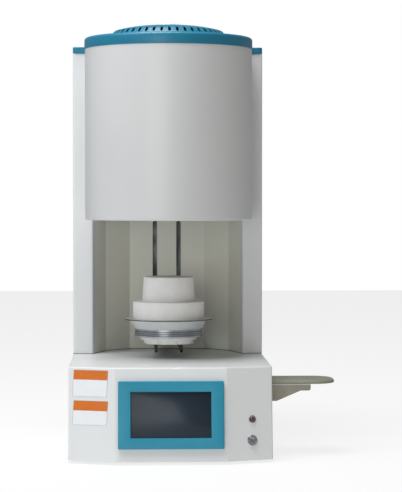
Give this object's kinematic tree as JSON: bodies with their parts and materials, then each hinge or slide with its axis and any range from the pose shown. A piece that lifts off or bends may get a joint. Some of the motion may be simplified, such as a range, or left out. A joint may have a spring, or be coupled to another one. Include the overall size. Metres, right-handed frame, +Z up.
{
  "type": "zirconia sintering furnace",
  "caption": "Bench-top sintering furnace: round insulated drum between two columns, stepped hearth on a screw lift, faceted base with a screen, and a side tray.",
  "frame": {"origin": "under the middle of the whole object's box, at the underside of the feet", "axes": "+X to the operator's right, +Y from the operator to the rear, +Z up"},
  "size_m": [0.538, 0.5678, 0.882],
  "materials": {
    "white_paint": "satin",
    "alcove_paint": "satin",
    "teal_paint": "satin",
    "teal_moulding": "satin",
    "zinc_steel": "satin",
    "bright_steel": "polished",
    "aluminium": "satin",
    "pale_aluminium": "satin",
    "bronze": "satin",
    "fibre_board": "matte",
    "hearth_ceramic": "matte",
    "pale_ceramic": "matte",
    "element_grey": "satin",
    "white_plastic": "satin",
    "black_plastic": "matte",
    "dark_steel": "satin",
    "rubber": "matte",
    "display_glass": "gloss",
    "red_lens": "gloss",
    "board_green": "satin",
    "tray_paint": "satin"
  },
  "bodies": {
    "housing": {"alcove_panel": "alcove_paint", "base_pan": "zinc_steel", "base_shell": "white_paint", "button_body": "bright_steel", "cable_gland": "black_plastic", "control_board": "board_green", "crown_cap": "white_plastic", "drum_lid": "teal_paint", "drum_saddles": "zinc_steel", "drum_shell": "white_paint", "element_holders": "pale_ceramic", "end_blocks": "aluminium", "fan_frame": "black_plastic", "fan_guard": "dark_steel", "floor_wool": "fibre_board", "guide_rods": "bright_steel", "heating_elements": "element_grey", "lamp_bezel": "bright_steel", "lamp_lens": "red_lens", "left_column": "white_paint", "lift_frame": "zinc_steel", "lift_motor": "dark_steel", "motor_plate": "zinc_steel", "mouth_plate": "zinc_steel", "panel_nuts": "bright_steel", "power_controller": "aluminium", "rear_cover": "white_paint", "right_column": "white_paint", "roof_wool": "fibre_board", "rubber_feet": "rubber", "screen_bezel": "teal_moulding", "screen_glass": "display_glass", "screen_housing": "black_plastic", "screw_bearings": "bright_steel", "side_tray": "tray_paint", "terminal_links": "zinc_steel", "thermocouple": "pale_ceramic", "tower_cap": "teal_paint", "transformer": "dark_steel", "tray_bracket": "zinc_steel", "tray_support": "white_paint", "vent_grille": "teal_paint", "wall_wool": "fibre_board"},
    "lift": {"lift_arms": "dark_steel", "carriage": "aluminium", "linear_bearings": "bright_steel", "lead_nut": "bronze", "hearth_table": "pale_ceramic", "hearth_collar": "pale_ceramic", "ribbed_ring": "aluminium", "hearth_dish": "pale_aluminium", "hearth_flange": "pale_aluminium", "hearth_base": "hearth_ceramic", "hearth_pedestal": "hearth_ceramic"},
    "screw": {"lead_screw": "bright_steel", "motor_coupling": "aluminium", "motor_shaft": "bright_steel"},
    "button": {"button_cap": "bright_steel"},
    "fan": {"fan_rotor": "black_plastic"}
  },
  "joints": [
    {"name": "lift_slide", "type": "slide", "parent": "housing", "child": "lift", "axis": [0, 0, 1], "range_m": [0, 0.2067]},
    {"name": "screw_spin", "type": "hinge", "parent": "housing", "child": "screw", "pos_m": [-0.067, 0.2209, 0.3], "axis": [0, 0, 1], "range_deg": [-1, 7445]},
    {"name": "button_press", "type": "slide", "parent": "housing", "child": "button", "axis": [-0.315, 0.9347, -0.1648], "range_m": [0, 0.003], "stiffness_N_per_m": 600, "springref_m": -0.001},
    {"name": "fan_spin", "type": "hinge", "parent": "housing", "child": "fan", "pos_m": [-0.213, 0.2394, 0.1], "axis": [0, 1, 0], "continuous": true}
  ],
  "couplings": [
    {"joint": "screw_spin", "follows": "lift_slide", "rad_per_m": 628.32}
  ]
}
